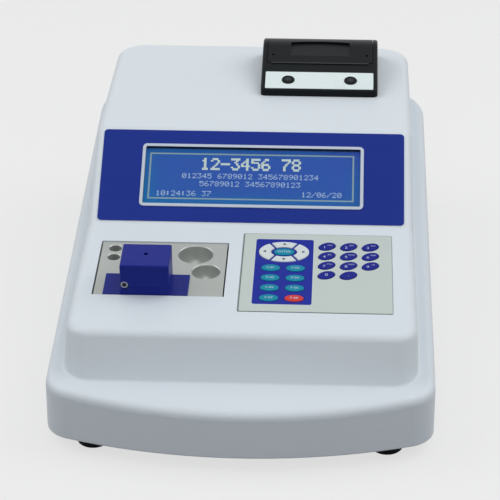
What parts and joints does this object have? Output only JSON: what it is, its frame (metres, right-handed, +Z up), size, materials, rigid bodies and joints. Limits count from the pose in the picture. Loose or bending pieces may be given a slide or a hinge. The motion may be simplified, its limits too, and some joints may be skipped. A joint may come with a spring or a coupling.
{
  "type": "coagulation analyzer",
  "caption": "Bench coagulation analyzer: moulded case with sloping display, keypad, bored heating block with a hinged measuring head, and a panel printer.",
  "frame": {"origin": "on the ground under the middle of the case", "axes": "+X to the instrument's right, +Y to its rear, +Z up; the keypad's side faces -Y"},
  "size_m": [0.2232, 0.38, 0.1348],
  "materials": {
    "case_white": "fine satin moulding",
    "plate_metal": "plain coated sheet",
    "foot_rubber": "matt black",
    "screw_steel": "plain steel",
    "label_blue": "printed film",
    "frame_white": "smooth white",
    "window_clear": "clear polished",
    "module_metal": "pressed sheet",
    "lcd_blue": "backlit blue",
    "guide_white": "milky white",
    "board_green": "solder mask",
    "keypad_grey": "printed film",
    "arrow_white": "printed pale keys",
    "key_teal": "printed teal keys",
    "key_blue": "printed blue keys",
    "key_red": "printed red key",
    "block_metal": "satin anodised",
    "mat_orange": "silicone mat",
    "head_blue": "satin blue",
    "lamp_clear": "clear dome",
    "sensor_dark": "dark dome",
    "printer_black": "glossy black",
    "strip_white": "printed pale film",
    "button_black": "soft black",
    "door_grey": "satin dark grey",
    "platen_rubber": "ground rubber",
    "paper_white": "smooth paper",
    "mechanism_grey": "moulded grey",
    "supply_metal": "perforated sheet",
    "fitting_black": "black moulding",
    "rocker_black": "polished black",
    "port_metal": "plated shell"
  },
  "bodies": {
    "base": {"housing": "case_white", "base_plate": "plate_metal", "feet": "foot_rubber", "case_screws": "screw_steel", "display_label": "label_blue", "display_frame": "frame_white", "display_window": "window_clear", "module_frame": "module_metal", "lcd_glass": "lcd_blue", "light_guide": "guide_white", "display_board": "board_green", "board_screws": "screw_steel", "keypad_label": "keypad_grey", "keypad_board": "board_green", "heated_block": "block_metal", "block_posts": "plate_metal", "heater_mat": "mat_orange", "head_base": "head_blue", "shield_pin": "screw_steel", "beam_lamp": "lamp_clear", "beam_sensor": "sensor_dark", "printer_frame": "printer_black", "printer_strip": "strip_white", "print_head": "mechanism_grey", "main_board": "board_green", "power_supply": "supply_metal", "power_inlet": "fitting_black", "switch_frame": "fitting_black", "data_port": "port_metal"},
    "light_shield": {"light_shield": "head_blue"},
    "printer_door": {"printer_door": "door_grey"},
    "platen_roller": {"platen_roller": "platen_rubber"},
    "paper_roll": {"paper_roll": "paper_white"},
    "feed_button": {"feed_button": "button_black"},
    "select_button": {"select_button": "button_black"},
    "power_rocker": {"power_rocker": "rocker_black"},
    "key_up": {"key_up": "arrow_white"},
    "key_left": {"key_left": "arrow_white"},
    "key_down": {"key_down": "arrow_white"},
    "key_right": {"key_right": "arrow_white"},
    "key_enter": {"key_enter": "key_teal"},
    "key_function_1": {"key_function_1": "key_teal"},
    "key_function_2": {"key_function_2": "key_teal"},
    "key_function_3": {"key_function_3": "key_teal"},
    "key_function_4": {"key_function_4": "key_teal"},
    "key_function_5": {"key_function_5": "key_teal"},
    "key_function_6": {"key_function_6": "key_teal"},
    "key_function_7": {"key_function_7": "key_teal"},
    "key_function_8": {"key_function_8": "key_red"},
    "key_number_1": {"key_number_1": "key_blue"},
    "key_number_2": {"key_number_2": "key_blue"},
    "key_number_3": {"key_number_3": "key_blue"},
    "key_number_4": {"key_number_4": "key_blue"},
    "key_number_5": {"key_number_5": "key_blue"},
    "key_number_6": {"key_number_6": "key_blue"},
    "key_number_7": {"key_number_7": "key_blue"},
    "key_number_8": {"key_number_8": "key_blue"},
    "key_number_9": {"key_number_9": "key_blue"},
    "key_number_10": {"key_number_10": "key_blue"},
    "key_number_11": {"key_number_11": "key_blue"}
  },
  "joints": [
    {"name": "key_up_press", "type": "slide", "parent": "base", "child": "key_up", "axis": [0, 0.0785, -0.9969], "range_m": [0, 0.0004], "stiffness_N_per_m": 600},
    {"name": "key_left_press", "type": "slide", "parent": "base", "child": "key_left", "axis": [0, 0.0785, -0.9969], "range_m": [0, 0.0004], "stiffness_N_per_m": 600},
    {"name": "key_down_press", "type": "slide", "parent": "base", "child": "key_down", "axis": [0, 0.0785, -0.9969], "range_m": [0, 0.0004], "stiffness_N_per_m": 600},
    {"name": "key_right_press", "type": "slide", "parent": "base", "child": "key_right", "axis": [0, 0.0785, -0.9969], "range_m": [0, 0.0004], "stiffness_N_per_m": 600},
    {"name": "key_enter_press", "type": "slide", "parent": "base", "child": "key_enter", "axis": [0, 0.0785, -0.9969], "range_m": [0, 0.0004], "stiffness_N_per_m": 600},
    {"name": "key_function_1_press", "type": "slide", "parent": "base", "child": "key_function_1", "axis": [0, 0.0785, -0.9969], "range_m": [0, 0.0004], "stiffness_N_per_m": 600},
    {"name": "key_function_2_press", "type": "slide", "parent": "base", "child": "key_function_2", "axis": [0, 0.0785, -0.9969], "range_m": [0, 0.0004], "stiffness_N_per_m": 600},
    {"name": "key_function_3_press", "type": "slide", "parent": "base", "child": "key_function_3", "axis": [0, 0.0785, -0.9969], "range_m": [0, 0.0004], "stiffness_N_per_m": 600},
    {"name": "key_function_4_press", "type": "slide", "parent": "base", "child": "key_function_4", "axis": [0, 0.0785, -0.9969], "range_m": [0, 0.0004], "stiffness_N_per_m": 600},
    {"name": "key_function_5_press", "type": "slide", "parent": "base", "child": "key_function_5", "axis": [0, 0.0785, -0.9969], "range_m": [0, 0.0004], "stiffness_N_per_m": 600},
    {"name": "key_function_6_press", "type": "slide", "parent": "base", "child": "key_function_6", "axis": [0, 0.0785, -0.9969], "range_m": [0, 0.0004], "stiffness_N_per_m": 600},
    {"name": "key_function_7_press", "type": "slide", "parent": "base", "child": "key_function_7", "axis": [0, 0.0785, -0.9969], "range_m": [0, 0.0004], "stiffness_N_per_m": 600},
    {"name": "key_function_8_press", "type": "slide", "parent": "base", "child": "key_function_8", "axis": [0, 0.0785, -0.9969], "range_m": [0, 0.0004], "stiffness_N_per_m": 600},
    {"name": "key_number_1_press", "type": "slide", "parent": "base", "child": "key_number_1", "axis": [0, 0.0785, -0.9969], "range_m": [0, 0.0004], "stiffness_N_per_m": 600},
    {"name": "key_number_2_press", "type": "slide", "parent": "base", "child": "key_number_2", "axis": [0, 0.0785, -0.9969], "range_m": [0, 0.0004], "stiffness_N_per_m": 600},
    {"name": "key_number_3_press", "type": "slide", "parent": "base", "child": "key_number_3", "axis": [0, 0.0785, -0.9969], "range_m": [0, 0.0004], "stiffness_N_per_m": 600},
    {"name": "key_number_4_press", "type": "slide", "parent": "base", "child": "key_number_4", "axis": [0, 0.0785, -0.9969], "range_m": [0, 0.0004], "stiffness_N_per_m": 600},
    {"name": "key_number_5_press", "type": "slide", "parent": "base", "child": "key_number_5", "axis": [0, 0.0785, -0.9969], "range_m": [0, 0.0004], "stiffness_N_per_m": 600},
    {"name": "key_number_6_press", "type": "slide", "parent": "base", "child": "key_number_6", "axis": [0, 0.0785, -0.9969], "range_m": [0, 0.0004], "stiffness_N_per_m": 600},
    {"name": "key_number_7_press", "type": "slide", "parent": "base", "child": "key_number_7", "axis": [0, 0.0785, -0.9969], "range_m": [0, 0.0004], "stiffness_N_per_m": 600},
    {"name": "key_number_8_press", "type": "slide", "parent": "base", "child": "key_number_8", "axis": [0, 0.0785, -0.9969], "range_m": [0, 0.0004], "stiffness_N_per_m": 600},
    {"name": "key_number_9_press", "type": "slide", "parent": "base", "child": "key_number_9", "axis": [0, 0.0785, -0.9969], "range_m": [0, 0.0004], "stiffness_N_per_m": 600},
    {"name": "key_number_10_press", "type": "slide", "parent": "base", "child": "key_number_10", "axis": [0, 0.0785, -0.9969], "range_m": [0, 0.0004], "stiffness_N_per_m": 600},
    {"name": "key_number_11_press", "type": "slide", "parent": "base", "child": "key_number_11", "axis": [0, 0.0785, -0.9969], "range_m": [0, 0.0004], "stiffness_N_per_m": 600},
    {"name": "feed_button_press", "type": "slide", "parent": "base", "child": "feed_button", "axis": [0, 0.2756, -0.9613], "range_m": [0, 0.0006], "stiffness_N_per_m": 600},
    {"name": "select_button_press", "type": "slide", "parent": "base", "child": "select_button", "axis": [0, 0.2756, -0.9613], "range_m": [0, 0.0006], "stiffness_N_per_m": 600},
    {"name": "shield_hinge", "type": "hinge", "parent": "base", "child": "light_shield", "pos_m": [-0.0697, -0.09846, 0.07708], "axis": [0, -0.9969, -0.0785], "range_deg": [0, 100]},
    {"name": "door_hinge", "type": "hinge", "parent": "base", "child": "printer_door", "pos_m": [0.04, 0.15695, 0.12248], "axis": [-1, 0, 0], "range_deg": [0, 85]},
    {"name": "roll_spin", "type": "hinge", "parent": "base", "child": "paper_roll", "pos_m": [0.04, 0.139, 0.10738], "axis": [1, 0, 0], "continuous": true},
    {"name": "platen_spin", "type": "hinge", "parent": "printer_door", "child": "platen_roller", "pos_m": [0.04, 0.12064, 0.12155], "axis": [1, 0, 0], "continuous": true},
    {"name": "rocker_tilt", "type": "hinge", "parent": "base", "child": "power_rocker", "pos_m": [-0.006, 0.1845, 0.04], "axis": [1, 0, 0], "range_deg": [0, 14]}
  ],
  "couplings": [
    {"joint": "platen_spin", "follows": "roll_spin", "ratio": 3.75}
  ]
}
